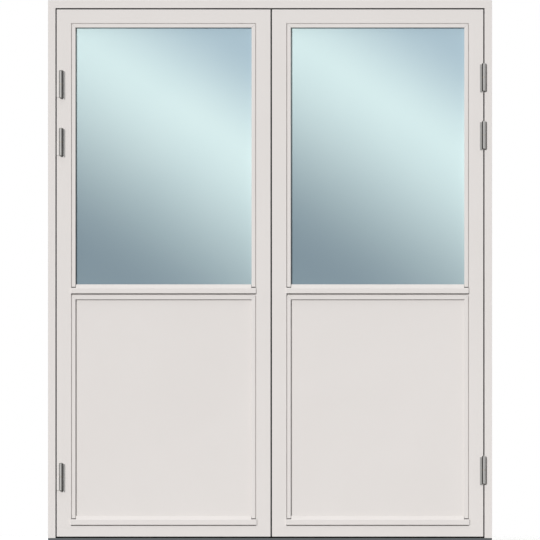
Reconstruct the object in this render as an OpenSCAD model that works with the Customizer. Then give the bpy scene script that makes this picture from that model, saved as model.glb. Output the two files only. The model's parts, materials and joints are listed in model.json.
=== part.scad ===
// Outward-opening timber french doors in their frame: two glazed leaves with
// panelled lower halves, lift-off hinges and an espagnolette lock in each leaf.
// X runs across the opening, Z up and Y from the outer face to the inner face.
// The origin is the centre of the threshold's underside.

/* [Frame] */
// Overall width across the jambs
frame_w = 1780; // [1400:10:2200]
// Overall height, from the underside of the threshold to the top of the head
frame_h = 2180; // [1800:10:2600]
// Depth of the frame, from its outer face to its inner face
frame_d = 115; // [105:1:160]
// Thickness of each jamb
jamb_t = 30; // [26:1:50]
// Thickness of the head
head_t = 32.5; // [30:0.5:50]
// Height of the threshold in front of the leaves
sill_h = 23; // [20:1:35]
// Thickness of the metal cover on the threshold
cover_t = 2; // [1:0.5:3]
// How far the stops stand in from the jambs and the head
stop_t = 20; // [18:1:30]
// Height of the upstand behind the leaves, above the threshold
upstand_h = 22; // [21:1:40]

/* [Gaps around the leaves] */
// Gap between a leaf and its jamb
side_gap = 5; // [4:0.5:8]
// Gap between the leaves and the head
head_gap = 5.5; // [4:0.5:8]
// Gap between the leaves and the threshold
sill_gap = 5.8; // [4:0.2:8]
// Gap between the two leaves
meeting_gap = 6; // [5.5:0.5:8]
// How far the meeting gap lies to the right of the middle
meeting_x = 5; // [-20:1:20]
// Gap between the leaves' inner face and the stops
stop_gap = 4; // [4:0.5:8]

/* [Leaves] */
// Thickness of a leaf
leaf_t = 62; // [58:1:80]
// Width of a stile's outer face
stile_w = 58; // [56:1:110]
// Height of the top rail's outer face
top_rail_w = 55; // [45:1:110]
// Height of the bottom rail's outer face
bottom_rail_w = 43; // [40:1:160]
// Height of the mid rail's underside above the floor
mid_rail_z = 997; // [500:1:1400]
// Height of the mid rail between the glass and the panel
mid_rail_w = 23; // [20:1:60]
// Width of the rebate's inner lip
lip_w = 16; // [15:1:20]
// Thickness of the rebate's inner lip
lip_t = 20; // [16:1:26]
// Length of the rails' tenons
tenon_l = 26; // [18:1:30]
// Thickness of the rails' tenons
tenon_t = 12; // [10:1:14]

/* [Glazing and panels] */
// Thickness of the sealed glass unit
glass_t = 24; // [20:1:26]
// Thickness of each pane
pane_t = 4; // [3:1:6]
// Thickness of the lower panel
panel_t = 28; // [24:1:30]
// Thickness of the panel's skins
skin_t = 3; // [2:0.5:6]
// Thickness of the glazing tape
tape_t = 3; // [2:0.5:4]
// Width of the glazing tape
tape_w = 12; // [8:1:12]
// Clearance between the glass or panel and the rebate's floor
edge_gap = 3; // [2:0.5:3]
// Width of the beads that hold the glass and the panel
bead_w = 18; // [17:1:24]
// How far the beads lie behind the leaf's outer face
bead_set = 1; // [0:0.5:3]
// Width of the groove along each bead's outer edge
quirk_w = 2.5; // [1.5:0.5:4]
// Depth of the groove along each bead's outer edge
quirk_d = 5; // [3:0.5:6]
// How far the sloping sill beads stand out from the leaf
nose_out = 5; // [3:1:12]
// Height of a sill bead's upright nose
nose_h = 20; // [14:1:24]
// How far a sill bead rises above the rebate's floor
sill_bead_rise = 20; // [17:1:24]
// Depth of the seat that a sill bead is planted in
sill_bead_seat = 12; // [10:1:14]
// Gap under the cut ends of the side beads
bead_end_gap = 3.5; // [2:0.5:6]
// Gap in the beads' mitred corners
mitre_gap = 0.2; // [0.1:0.1:1]
// How far the lower sill bead laps over the stiles
nose_lap = 3; // [0:0.5:6]

/* [Hinges] */
// Height of the middle of the left leaf's lowest hinge above the floor
low_hinge_z = 268; // [120:1:500]
// Distance of the middle of the left leaf's top hinge below the leaf's top
top_hinge_drop = 299; // [100:1:400]
// Distance between the two upper hinges of a leaf
hinge_pair = 232; // [130:1:400]
// How much higher the right leaf's hinges are
right_hinge_rise = 28; // [-40:1:40]
// Distance of the left pivot from its leaf's edge, inwards over the leaf
left_hinge_u = 17; // [-2.5:0.5:18]
// Distance of the right pivot from its leaf's edge, inwards over the leaf
right_hinge_u = -2.5; // [-2.5:0.5:18]
// Radius of the hinge barrels
knuckle_r = 8; // [7:0.5:8.5]
// Length of one knuckle, half the barrel
knuckle_l = 56; // [40:1:70]
// Distance of the pivot in front of the leaf's outer face
pivot_out = 9; // [9:0.5:12]
// Radius of the hinge pins
pin_r = 4; // [3:0.5:5]
// Thickness of the hinge plates
plate_t = 2; // [1.5:0.5:2]
// Width of the leaf plate beside the pivot
wing_w = 16; // [14:1:24]
// How far the leaf plate hangs below the barrel
wing_drop = 5; // [0:1:10]

/* [Lock] */
// Height of the handles' axis above the floor
handle_z = 1010; // [900:1:1200]
// Distance of the handle's axis from the leaf's meeting edge
backset = 25; // [22:1:30]
// Distance of the lock's middle plane behind the outer face
lock_y = 40; // [38:1:44]
// Radius of the shoot bolts
bolt_r = 5; // [4:0.5:5]
// Travel of the shoot bolts
bolt_throw = 20; // [14:1:20]
// Radius of the lever and its neck
lever_r = 9; // [7:0.5:11]
// Length of the lever from its axis to its end
lever_l = 128; // [100:1:150]
// Distance of the lever's axis from the leaf's inner face
lever_out = 50; // [40:1:60]

/* [Fixings] */
// Distance of each jamb's outer fixing holes from the frame's bottom and top
fix_end = 150; // [60:10:300]
// Height of each jamb's lower inner fixing hole above the floor
fix_low_z = 790; // [400:10:900]
// Distance of each jamb's upper inner fixing hole below the left leaf's middle hinge
fix_hinge_drop = 221; // [120:1:300]
// Distance of the fixing holes behind the outer face
fix_y = 33; // [20:1:45]
// Radius of the fixing sleeves
sleeve_r = 9; // [7:0.5:11]
// Radius of the hole for the fixing screw
fix_hole_r = 4; // [3:0.5:5]

/* [Hidden] */
$fn = 64;
SIDES = ["left", "right"];
FRAME_NODES = ["head", "left_jamb", "right_jamb", "threshold", "threshold_cover",
    "head_stop", "left_stop", "right_stop", "fixing_sleeves", "head_keep", "sill_keep",
    "left_frame_hinges", "right_frame_hinges", "hinge_pins", "hinge_washers", "hinge_screws"];
LEAF_NODES = ["hinge_stile", "meeting_stile", "top_rail", "mid_rail", "bottom_rail",
    "glass_panes", "glass_spacer", "panel_skins", "panel_core", "glazing_tape",
    "glass_beads", "glass_sill_bead", "panel_beads", "panel_sill_bead", "stop_seal",
    "leaf_hinges", "lock_case", "lock_hub", "top_rod", "bottom_rod", "handle", "handle_plate"];

WHITE = [0.88, 0.86, 0.85];
DARK = [0.38, 0.39, 0.40];
STEEL = [0.66, 0.66, 0.65];
RUBBER = [0.12, 0.12, 0.12];
OAK = [0.62, 0.47, 0.31];

// overlap where two shapes of one piece are joined, and cuts run past a face
eps = 1;
// clearance of a screw, stud or pressed pin in its own hole
fit = 0.02;
// radial clearance of everything that turns or slides in a bore
running = 0.06;

// the frame's inner faces
jamb_x = frame_w / 2 - jamb_t;
head_z = frame_h - head_t;
stop_y = leaf_t + stop_gap;
upstand_z = sill_h + upstand_h;

// the leaves: u runs across a leaf from its hinge edge, and z up from the floor
leaf_z0 = sill_h + sill_gap;
leaf_z1 = head_z - head_gap;
function leaf_w(side) =
    jamb_x - side_gap - meeting_gap / 2 + (side == "left" ? meeting_x : -meeting_x);
function pivot_u(side) = side == "left" ? left_hinge_u : right_hinge_u;
top_hinge_z = leaf_z1 - top_hinge_drop;
function hinge_heights(side) = [for (z = [low_hinge_z, top_hinge_z - hinge_pair, top_hinge_z])
    z + (side == "left" ? 0 : right_hinge_rise)];

// the rebates' floors, above and below the mid rail
lip_y = leaf_t - lip_t;
glass_z0 = mid_rail_z + mid_rail_w;
glass_z1 = leaf_z1 - top_rail_w;
panel_z0 = leaf_z0 + bottom_rail_w + sill_bead_rise;
panel_z1 = mid_rail_z;

// the faces of what the rebates hold
infill_back = lip_y - tape_t;
glass_y = infill_back - glass_t;
panel_y = infill_back - panel_t;

// the sill beads: the seat is as tall as the bead's rise, the nose stops short of it
nose_z0 = nose_h - 4;
bead_end_z = 10;

// the lock's channel, measured by v from the meeting edge
face_t = 3;
face_half = 9;
channel_v = 14;
channel_half = 5.5;
case_v = 43;
case_half = 7;
case_half_h = 60;
bolt_v = 8.5;
rod_v = [4.5, 9.5];
guide_h = 28;
hub_r = 10;
spindle_half = 4;

// ---------------------------------------------------------------- helpers

// from the outer face at y = 0 to the origin in the middle of the depth
module seated() {
    translate([0, -frame_d / 2, 0]) children();
}

// puts a leaf's own (u, y, z) axes at its hinge edge
module on_leaf(side) {
    turn = side == "left" ? 0 : 1;
    seated()
        mirror([turn, 0, 0])
            translate([side_gap - jamb_x, 0, 0]) children();
}

// puts (v, y, z) axes at a leaf's meeting edge, with v running into the leaf
module from_meeting_edge(side) {
    translate([leaf_w(side), 0, 0]) mirror([1, 0, 0]) children();
}

// a block between two corners
module block(low, high) {
    translate(low) cube(high - low);
}

// a profile in (y, z), extruded across the leaf from u0 to u1
module across(u0, u1) {
    translate([u0, 0, 0]) rotate([90, 0, 90]) linear_extrude(u1 - u0) children();
}

// an outline in (u, z), extruded inwards from y0 to y1
module inwards(y0, y1) {
    translate([0, y1, 0]) rotate([90, 0, 0]) linear_extrude(y1 - y0) children();
}

// a rod along +Y
module rod_y(r, y0, y1) {
    translate([0, y0, 0]) rotate([-90, 0, 0]) cylinder(r = r, h = y1 - y0);
}

// a rod along +X
module rod_x(r, x0, x1) {
    translate([x0, 0, 0]) rotate([0, 90, 0]) cylinder(r = r, h = x1 - x0);
}

// ------------------------------------------------------------------ frame

module at_bolts() {
    for (side = SIDES)
        on_leaf(side) from_meeting_edge(side) translate([bolt_v, lock_y, 0]) children();
}

keep_t = 2.5;
keep_margin = 16;
keep_x0 = meeting_x - meeting_gap / 2 - bolt_v - keep_margin;
keep_x1 = meeting_x + meeting_gap / 2 + bolt_v + keep_margin;
pocket_r = bolt_r + 2;
pocket_extra = 4;

// the keep plate's outline, let into the head or the threshold
module keep_blank(z0) {
    seated() block([keep_x0, lock_y - face_half, z0], [keep_x1, lock_y + face_half, z0 + keep_t]);
}

module head() {
    color(WHITE)
    difference() {
        seated() block([-frame_w / 2, 0, head_z], [frame_w / 2, frame_d, frame_h]);
        keep_blank(head_z);
        at_bolts() translate([0, 0, head_z])
            cylinder(r = pocket_r, h = bolt_throw - head_gap + pocket_extra);
    }
}

module head_keep() {
    color(STEEL)
    difference() {
        keep_blank(head_z);
        at_bolts() translate([0, 0, head_z - eps]) cylinder(r = bolt_r + eps, h = keep_t + 2 * eps);
    }
}

// where the fixing screws pass through a jamb
module at_fixings() {
    for (z = [fix_end, fix_low_z, top_hinge_z - hinge_pair - fix_hinge_drop, frame_h - fix_end])
        translate([0, fix_y, z]) children();
}

// where the screws of the frame's hinge plates go in
screw_y = 24;
screw_z = [-16, 14 - knuckle_l];
screw_r = 2.5;
screw_head_r = 4.5;
screw_l = 26;
module at_hinge_screws(side) {
    for (z = hinge_heights(side), dz = screw_z) translate([-side_gap, screw_y, z + dz]) children();
}

module jamb(side) {
    color(WHITE)
    on_leaf(side)
    difference() {
        block([-side_gap - jamb_t, 0, sill_h], [-side_gap, frame_d, head_z]);
        at_fixings() rod_x(sleeve_r + fit, -side_gap - jamb_t - eps, eps - side_gap);
        at_hinge_screws(side) rod_x(screw_r + fit, plate_t - screw_l - eps, eps);
    }
}

module fixing_sleeves() {
    color(STEEL)
    for (side = SIDES) on_leaf(side) at_fixings() difference() {
        rod_x(sleeve_r, -side_gap - jamb_t, -side_gap);
        rod_x(fix_hole_r, -side_gap - jamb_t - eps, eps - side_gap);
    }
}

// the timber threshold, with its upstand between the jambs
module threshold() {
    color(OAK)
    difference() {
        seated() {
            block([-frame_w / 2, cover_t, 0], [frame_w / 2, frame_d, sill_h - cover_t]);
            block([-frame_w / 2, stop_y, 0], [frame_w / 2, frame_d, sill_h]);
            block([-jamb_x, stop_y, 0], [jamb_x, frame_d, upstand_z]);
        }
        keep_blank(sill_h - keep_t);
        at_bolts() translate([0, 0, sill_h - bolt_throw + sill_gap - pocket_extra])
            cylinder(r = pocket_r, h = bolt_throw);
    }
}

// the folded metal cover in front of the upstand
module threshold_cover() {
    color(DARK)
    difference() {
        seated() {
            block([-frame_w / 2, 0, 0], [frame_w / 2, cover_t, sill_h]);
            block([-frame_w / 2, 0, sill_h - cover_t], [frame_w / 2, stop_y, sill_h]);
        }
        keep_blank(sill_h - keep_t);
    }
}

module sill_keep() {
    color(STEEL)
    difference() {
        keep_blank(sill_h - keep_t);
        at_bolts() translate([0, 0, sill_h - keep_t - eps])
            cylinder(r = bolt_r + eps, h = keep_t + 2 * eps);
    }
}

module head_stop() {
    color(WHITE)
    seated() block([-jamb_x, stop_y, head_z - stop_t], [jamb_x, frame_d, head_z]);
}

module side_stop(side) {
    color(WHITE)
    on_leaf(side)
        block([-side_gap, stop_y, upstand_z], [stop_t - side_gap, frame_d, head_z - stop_t]);
}

// ----------------------------------------------------------------- hinges

washer_t = 1;
end_chamfer = 3;
half_washer = washer_t / 2;
pin_up = knuckle_l - 8;
strap_y = [-3.2, -0.6];
stud_r = 4;
stud_l = 30;
stud_u = 10.5;
stud_z = [15, knuckle_l - 16];

// puts a hinge's pivot at the origin, turned with its leaf
module at_pivots(side) {
    on_leaf(side)
        for (z = hinge_heights(side)) translate([pivot_u(side), -pivot_out, z]) children();
}

// a knuckle standing on z = 0, chamfered at its free end
module knuckle() {
    cylinder(r = knuckle_r, h = knuckle_l - end_chamfer);
    translate([0, 0, knuckle_l - end_chamfer])
        cylinder(r1 = knuckle_r, r2 = knuckle_r - end_chamfer, h = end_chamfer);
}

// lower knuckle, strap over the leaf's edge and plate on the jamb, bored for the pin
module frame_hinges(side) {
    plate_u = -side_gap - pivot_u(side);
    top = -half_washer;
    color(STEEL)
    on_leaf(side)
    difference() {
        for (z = hinge_heights(side)) translate([pivot_u(side), -pivot_out, z]) difference() {
            union() {
                translate([0, 0, top]) mirror([0, 0, 1]) knuckle();
                block([plate_u, pivot_out + strap_y[0], top - knuckle_l + end_chamfer],
                    [0, pivot_out + strap_y[1], top]);
                block([plate_u, pivot_out + strap_y[0], top - knuckle_l + end_chamfer],
                    [plate_u + plate_t, pivot_out + screw_y + 10, top]);
            }
            translate([0, 0, top - knuckle_l + 6]) cylinder(r = pin_r + fit, h = knuckle_l);
        }
        at_hinge_screws(side) translate([plate_t, 0, 0]) rotate([0, -90, 0])
            cylinder(r1 = screw_head_r + fit, r2 = screw_r + fit, h = plate_t);
    }
}

module hinge_screws() {
    color(STEEL)
    for (side = SIDES) on_leaf(side) at_hinge_screws(side) {
        translate([plate_t, 0, 0]) rotate([0, -90, 0])
            cylinder(r1 = screw_head_r, r2 = screw_r, h = plate_t);
        rod_x(screw_r, plate_t - screw_l, 0);
    }
}

module hinge_pins() {
    color(STEEL)
    for (side = SIDES) at_pivots(side)
        translate([0, 0, -half_washer - knuckle_l + 6]) cylinder(r = pin_r, h = knuckle_l - 6 + pin_up);
}

module hinge_washers() {
    color([0.72, 0.58, 0.30])
    for (side = SIDES) at_pivots(side) translate([0, 0, -half_washer]) difference() {
        cylinder(r = knuckle_r - 0.5, h = washer_t);
        translate([0, 0, -eps]) cylinder(r = pin_r + running, h = washer_t + 2 * eps);
    }
}

// where a leaf's hinges are drilled into its stile
module at_studs(side) {
    for (z = hinge_heights(side), dz = stud_z) translate([pivot_u(side) + stud_u, 0, z + dz]) children();
}

// upper knuckle on a plate that lies on the leaf's face, with two studs into the stile
module leaf_hinges(side) {
    color(STEEL)
    on_leaf(side) {
        for (z = hinge_heights(side)) translate([pivot_u(side), -pivot_out, z]) difference() {
            union() {
                translate([0, 0, half_washer]) knuckle();
                block([0, pivot_out - plate_t, half_washer],
                    [wing_w, pivot_out, knuckle_l - wing_drop]);
                block([knuckle_r - 2, pivot_out - plate_t, -knuckle_l - wing_drop],
                    [wing_w, pivot_out, knuckle_l - wing_drop]);
            }
            translate([0, 0, half_washer - eps]) cylinder(r = pin_r + running, h = pin_up + eps);
        }
        at_studs(side) rod_y(stud_r, -plate_t / 2, stud_l);
    }
}

// ----------------------------------------------------------------- leaves

// a stile's section in (u, y), standing on the leaf's full height
module stile_blank() {
    translate([0, 0, leaf_z0]) linear_extrude(leaf_z1 - leaf_z0)
        polygon([[0, 0], [stile_w, 0], [stile_w, lip_y], [stile_w + lip_w, lip_y],
            [stile_w + lip_w, leaf_t], [0, leaf_t]]);
}

// the heights of each rail's tenon
TENONS = [[panel_z0 - 45, panel_z0 - 25], [mid_rail_z + 2, glass_z0 - 2],
    [glass_z1 + 10, glass_z1 + 40]];
tenon_y = 14;

// one rail's tenon, from the stile's inner edge into the stile
module tenon(i, clear = 0) {
    block([stile_w - tenon_l - clear, tenon_y, TENONS[i][0]],
        [stile_w + eps, tenon_y + tenon_t, TENONS[i][1]]);
}

module hinge_stile(side) {
    color(WHITE)
    on_leaf(side) difference() {
        stile_blank();
        for (i = [0:2]) tenon(i, clear = 1);
        at_studs(side) rod_y(stud_r + fit, -eps, stud_l + eps);
    }
}

module meeting_stile(side) {
    color(WHITE)
    on_leaf(side) from_meeting_edge(side) difference() {
        stile_blank();
        for (i = [0:2]) tenon(i, clear = 1);
        block([-eps, lock_y - face_half, leaf_z0 - eps], [face_t, lock_y + face_half, leaf_z1 + eps]);
        block([0, lock_y - channel_half, leaf_z0 - eps],
            [channel_v, lock_y + channel_half, leaf_z1 + eps]);
        block([0, lock_y - case_half, handle_z - case_half_h],
            [case_v, lock_y + case_half, handle_z + case_half_h]);
        translate([backset, 0, handle_z]) rod_y(spindle_half + 3, lock_y, leaf_t + eps);
        at_plate_screws() rod_y(plate_screw_r + fit, leaf_t - plate_screw_in, leaf_t + eps);
    }
}

// a rail from stile to stile, its section in (y, z) given as a child
module rail(side, i) {
    color(WHITE)
    on_leaf(side) {
        difference() {
            across(stile_w, leaf_w(side) - stile_w) children();
            stile_blank();
            from_meeting_edge(side) stile_blank();
        }
        tenon(i);
        from_meeting_edge(side) tenon(i);
    }
}

module top_rail(side) {
    rail(side, 2)
        polygon([[0, leaf_z1], [0, glass_z1], [lip_y, glass_z1], [lip_y, glass_z1 - lip_w],
            [leaf_t, glass_z1 - lip_w], [leaf_t, leaf_z1]]);
}

module mid_rail(side) {
    rail(side, 1)
        polygon([[sill_bead_seat, panel_z1], [sill_bead_seat, glass_z0], [lip_y, glass_z0],
            [lip_y, glass_z0 + lip_w], [leaf_t, glass_z0 + lip_w], [leaf_t, panel_z1 - lip_w],
            [lip_y, panel_z1 - lip_w], [lip_y, panel_z1]]);
}

module bottom_rail(side) {
    rail(side, 0)
        polygon([[0, leaf_z0], [0, panel_z0 - sill_bead_rise], [sill_bead_seat, panel_z0 - sill_bead_rise],
            [sill_bead_seat, panel_z0], [lip_y, panel_z0], [lip_y, panel_z0 + lip_w],
            [leaf_t, panel_z0 + lip_w], [leaf_t, leaf_z0]]);
}

// ---------------------------------------------------- glass, panel, beads

// a sheet in a rebate between two heights, held in by a margin on all sides
module sheet(side, z, y, inset) {
    block([stile_w + inset, y[0], z[0] + inset], [leaf_w(side) - stile_w - inset, y[1], z[1] - inset]);
}

// a rectangular loop of the given width between two depths
module loop(side, z, y, inset, width) {
    difference() {
        sheet(side, z, y, inset);
        sheet(side, z, [y[0] - eps, y[1] + eps], inset + width);
    }
}

GLASS_Z = [glass_z0, glass_z1];
PANEL_Z = [panel_z0, panel_z1];

module glass_panes(side) {
    color([0.62, 0.75, 0.79, 0.5])
    on_leaf(side)
        for (y = [glass_y, infill_back - pane_t]) sheet(side, GLASS_Z, [y, y + pane_t], edge_gap);
}

module glass_spacer(side) {
    color([0.25, 0.26, 0.27])
    on_leaf(side)
        loop(side, GLASS_Z, [glass_y + pane_t, infill_back - pane_t], edge_gap, tape_w);
}

module panel_skins(side) {
    color(WHITE)
    on_leaf(side)
        for (y = [panel_y, infill_back - skin_t]) sheet(side, PANEL_Z, [y, y + skin_t], edge_gap);
}

module panel_core(side) {
    color([0.55, 0.68, 0.76])
    on_leaf(side) sheet(side, PANEL_Z, [panel_y + skin_t, infill_back - skin_t], edge_gap);
}

module glazing_tape(side) {
    color(RUBBER)
    on_leaf(side) {
        loop(side, GLASS_Z, [glass_y - tape_t, glass_y], edge_gap, tape_w);
        loop(side, GLASS_Z, [infill_back, lip_y], edge_gap, tape_w);
        loop(side, PANEL_Z, [panel_y - tape_t, panel_y], edge_gap, tape_w);
        loop(side, PANEL_Z, [infill_back, lip_y], edge_gap, tape_w);
    }
}

// a bead's section: w across it from the rebate's floor, y from the front to its back
module bead_section(back) {
    soft = 1.5;
    polygon([[0, bead_set + quirk_d], [quirk_w, bead_set + quirk_d], [quirk_w, bead_set],
        [bead_w - soft, bead_set], [bead_w, bead_set + soft], [bead_w, back], [0, back]]);
}

// an upright bead beside the hinge edge, mitred at its top and cut square at its foot
module side_bead(z, back) {
    intersection() {
        translate([stile_w, 0, z[0]]) linear_extrude(z[1] - z[0]) bead_section(back);
        inwards(0, back + eps) polygon([[stile_w, z[0] + bead_end_z], [stile_w, z[1] - mitre_gap],
            [stile_w + bead_w, z[1] - bead_w - mitre_gap], [stile_w + bead_w, z[0] + bead_end_z]]);
    }
}

// the bead under the rail above, mitred at both ends
module top_bead(side, z, back) {
    u0 = stile_w;
    u1 = leaf_w(side) - stile_w;
    intersection() {
        translate([0, 0, z[1]]) rotate([0, 90, 0]) linear_extrude(u1) bead_section(back);
        inwards(0, back + eps)
            polygon([[u0, z[1]], [u1, z[1]], [u1 - bead_w, z[1] - bead_w], [u0 + bead_w, z[1] - bead_w]]);
    }
}

module three_beads(side, z, back) {
    color(WHITE)
    on_leaf(side) {
        side_bead(z, back);
        from_meeting_edge(side) side_bead(z, back);
        top_bead(side, z, back);
    }
}

// the sloping bead along the foot of the glass or panel, notched for the side beads
module sill_bead(side, z0, back, lap) {
    slope_top = back - 4;
    drip = 3;
    notch_z = z0 + bead_end_z - bead_end_gap;
    u1 = leaf_w(side) - stile_w;
    color(WHITE)
    on_leaf(side) {
        difference() {
            across(stile_w, u1)
                polygon([[sill_bead_seat, z0 - nose_z0], [1, z0 - nose_z0], [1, z0 - nose_z0 + drip],
                    [1 - drip, z0 - nose_z0 + drip], [1 - drip, z0 - nose_z0],
                    [-nose_out, z0 - nose_z0], [-nose_out, z0 - nose_z0 + nose_h],
                    [slope_top, z0 + sill_bead_rise], [back, z0 + sill_bead_rise],
                    [back, z0], [sill_bead_seat, z0]]);
            for (u = [stile_w - eps, u1 - bead_w - bead_set])
                block([u, -nose_out - eps, notch_z],
                    [u + bead_w + bead_set + eps, back + eps, z0 + sill_bead_rise + eps]);
        }
        if (lap > 0)
            for (u = [stile_w - lap, u1])
                block([u, -nose_out, z0 - nose_z0], [u + lap, 0, notch_z]);
    }
}

// --------------------------------------------------------- seals and lock

seal_inset = 9.5;
seal_w = 4.5;
seal_t = 3.5;

// the strip on the leaf's inner face that meets the stops and the upstand
module stop_seal(side) {
    color(RUBBER)
    on_leaf(side) difference() {
        block([seal_inset, leaf_t, leaf_z0 + seal_inset],
            [leaf_w(side) - 2, leaf_t + seal_t, leaf_z1 - seal_inset]);
        block([seal_inset + seal_w, leaf_t - eps, leaf_z0 + seal_inset + seal_w],
            [leaf_w(side), leaf_t + seal_t + eps, leaf_z1 - seal_inset - seal_w]);
    }
}

// faceplate, gear case and the two bolt guides, riveted up as one unit
module lock_case(side) {
    color(STEEL)
    on_leaf(side) from_meeting_edge(side) difference() {
        union() {
            block([0, lock_y - face_half, leaf_z0], [face_t, lock_y + face_half, leaf_z1]);
            block([face_t, lock_y - case_half, handle_z - case_half_h],
                [case_v, lock_y + case_half, handle_z + case_half_h]);
            for (z = [leaf_z0, leaf_z1 - guide_h])
                block([face_t, lock_y - channel_half, z], [channel_v, lock_y + channel_half, z + guide_h]);
        }
        translate([face_t, lock_y - channel_half, handle_z - case_half_h - eps])
            cube([rod_v[1] + 1 - face_t, 2 * channel_half, 2 * case_half_h + 2 * eps]);
        translate([face_t, lock_y - channel_half, handle_z - 36])
            cube([backset - face_t, 2 * channel_half, 72]);
        translate([backset, 0, handle_z]) rod_y(hub_r + running, 0, leaf_t);
        translate([bolt_v, lock_y, leaf_z0 - eps]) cylinder(r = bolt_r + running, h = guide_h + 2 * eps);
        translate([bolt_v, lock_y, leaf_z1 - guide_h - eps])
            cylinder(r = bolt_r + running, h = guide_h + 2 * eps);
    }
}

// the turning nut in the case, with its square hole for the spindle
module lock_hub(side) {
    color(STEEL)
    on_leaf(side) from_meeting_edge(side) translate([backset, 0, handle_z]) difference() {
        rod_y(hub_r, lock_y - case_half + 0.5, lock_y + case_half - 0.5);
        block([-spindle_half - fit, 0, -spindle_half - fit],
            [spindle_half + fit, leaf_t, spindle_half + fit]);
    }
}

// a flat rod beside the case, ending in a round bolt that is held back by a hair
module rod(side, far_z) {
    way = far_z > handle_z ? 1 : -1;
    reach = abs(far_z - handle_z);
    bar_end = reach - guide_h - bolt_throw - 1;
    color(STEEL)
    on_leaf(side) from_meeting_edge(side)
        translate([0, lock_y, handle_z]) mirror([0, 0, way > 0 ? 0 : 1]) {
            block([rod_v[0], -channel_half + 0.5, 2], [rod_v[1], channel_half - 0.5, bar_end]);
            block([rod_v[0], -channel_half + 0.5, 3], [backset - hub_r - 0.5, channel_half - 0.5, 11]);
            translate([bolt_v, 0, bar_end - bolt_throw]) cylinder(r = bolt_r, h = reach - 1 - bar_end + bolt_throw);
        }
}

plate_half_w = 16;
plate_half_h = 80;
handle_plate_t = 6;
plate_screw_z = 60;
plate_screw_r = 2;
plate_screw_in = 12;

module at_plate_screws() {
    for (dz = [-plate_screw_z, plate_screw_z]) translate([backset, 0, handle_z + dz]) children();
}

// the plate behind the lever, with its two screws in place
module handle_plate(side) {
    straight = plate_half_h - plate_half_w;
    color(STEEL)
    on_leaf(side) from_meeting_edge(side) {
        difference() {
            union() {
                translate([backset, 0, handle_z])
                    block([-plate_half_w, leaf_t, -straight], [plate_half_w, leaf_t + handle_plate_t, straight]);
                for (dz = [-straight, straight]) translate([backset, 0, handle_z + dz])
                    rod_y(plate_half_w, leaf_t, leaf_t + handle_plate_t);
            }
            translate([backset, 0, handle_z]) rod_y(lever_r + running, leaf_t - eps, leaf_t + 2 * handle_plate_t);
        }
        at_plate_screws() rod_y(plate_screw_r, leaf_t - plate_screw_in, leaf_t + eps);
    }
}

// lever, neck and square spindle; at rest the lever lies level, towards the hinges
module handle(side) {
    color(STEEL)
    on_leaf(side) from_meeting_edge(side) translate([backset, leaf_t, handle_z]) {
        rod_y(lever_r, 0.3, lever_out);
        translate([0, lever_out, 0]) sphere(r = lever_r);
        translate([0, lever_out, 0]) rod_x(lever_r, 0, lever_l - lever_r);
        translate([lever_l - lever_r, lever_out, 0]) sphere(r = lever_r);
        block([-spindle_half, lock_y - case_half + 1 - leaf_t, -spindle_half],
            [spindle_half, 1, spindle_half]);
    }
}

// ---------------------------------------------------------------- drawing

head();
threshold();
threshold_cover();
head_stop();
fixing_sleeves();
head_keep();
sill_keep();
hinge_pins();
hinge_washers();
hinge_screws();
for (s = SIDES) {
    jamb(s);
    side_stop(s);
    frame_hinges(s);
    hinge_stile(s);
    meeting_stile(s);
    top_rail(s);
    mid_rail(s);
    bottom_rail(s);
    glass_panes(s);
    glass_spacer(s);
    panel_skins(s);
    panel_core(s);
    glazing_tape(s);
    three_beads(s, GLASS_Z, glass_y - tape_t);
    sill_bead(s, glass_z0, glass_y - tape_t, 0);
    three_beads(s, PANEL_Z, panel_y - tape_t);
    sill_bead(s, panel_z0, panel_y - tape_t, nose_lap);
    stop_seal(s);
    leaf_hinges(s);
    lock_case(s);
    lock_hub(s);
    rod(s, leaf_z1);
    rod(s, leaf_z0);
    handle(s);
    handle_plate(s);
}
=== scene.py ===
"""Finishes a pair of outward-opening French doors in their frame, and sets up the studio they stand in."""
import json
import math

import bmesh
import bpy
from bpy.props import FloatProperty, FloatVectorProperty, PointerProperty
from mathutils import Matrix, Vector

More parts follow.
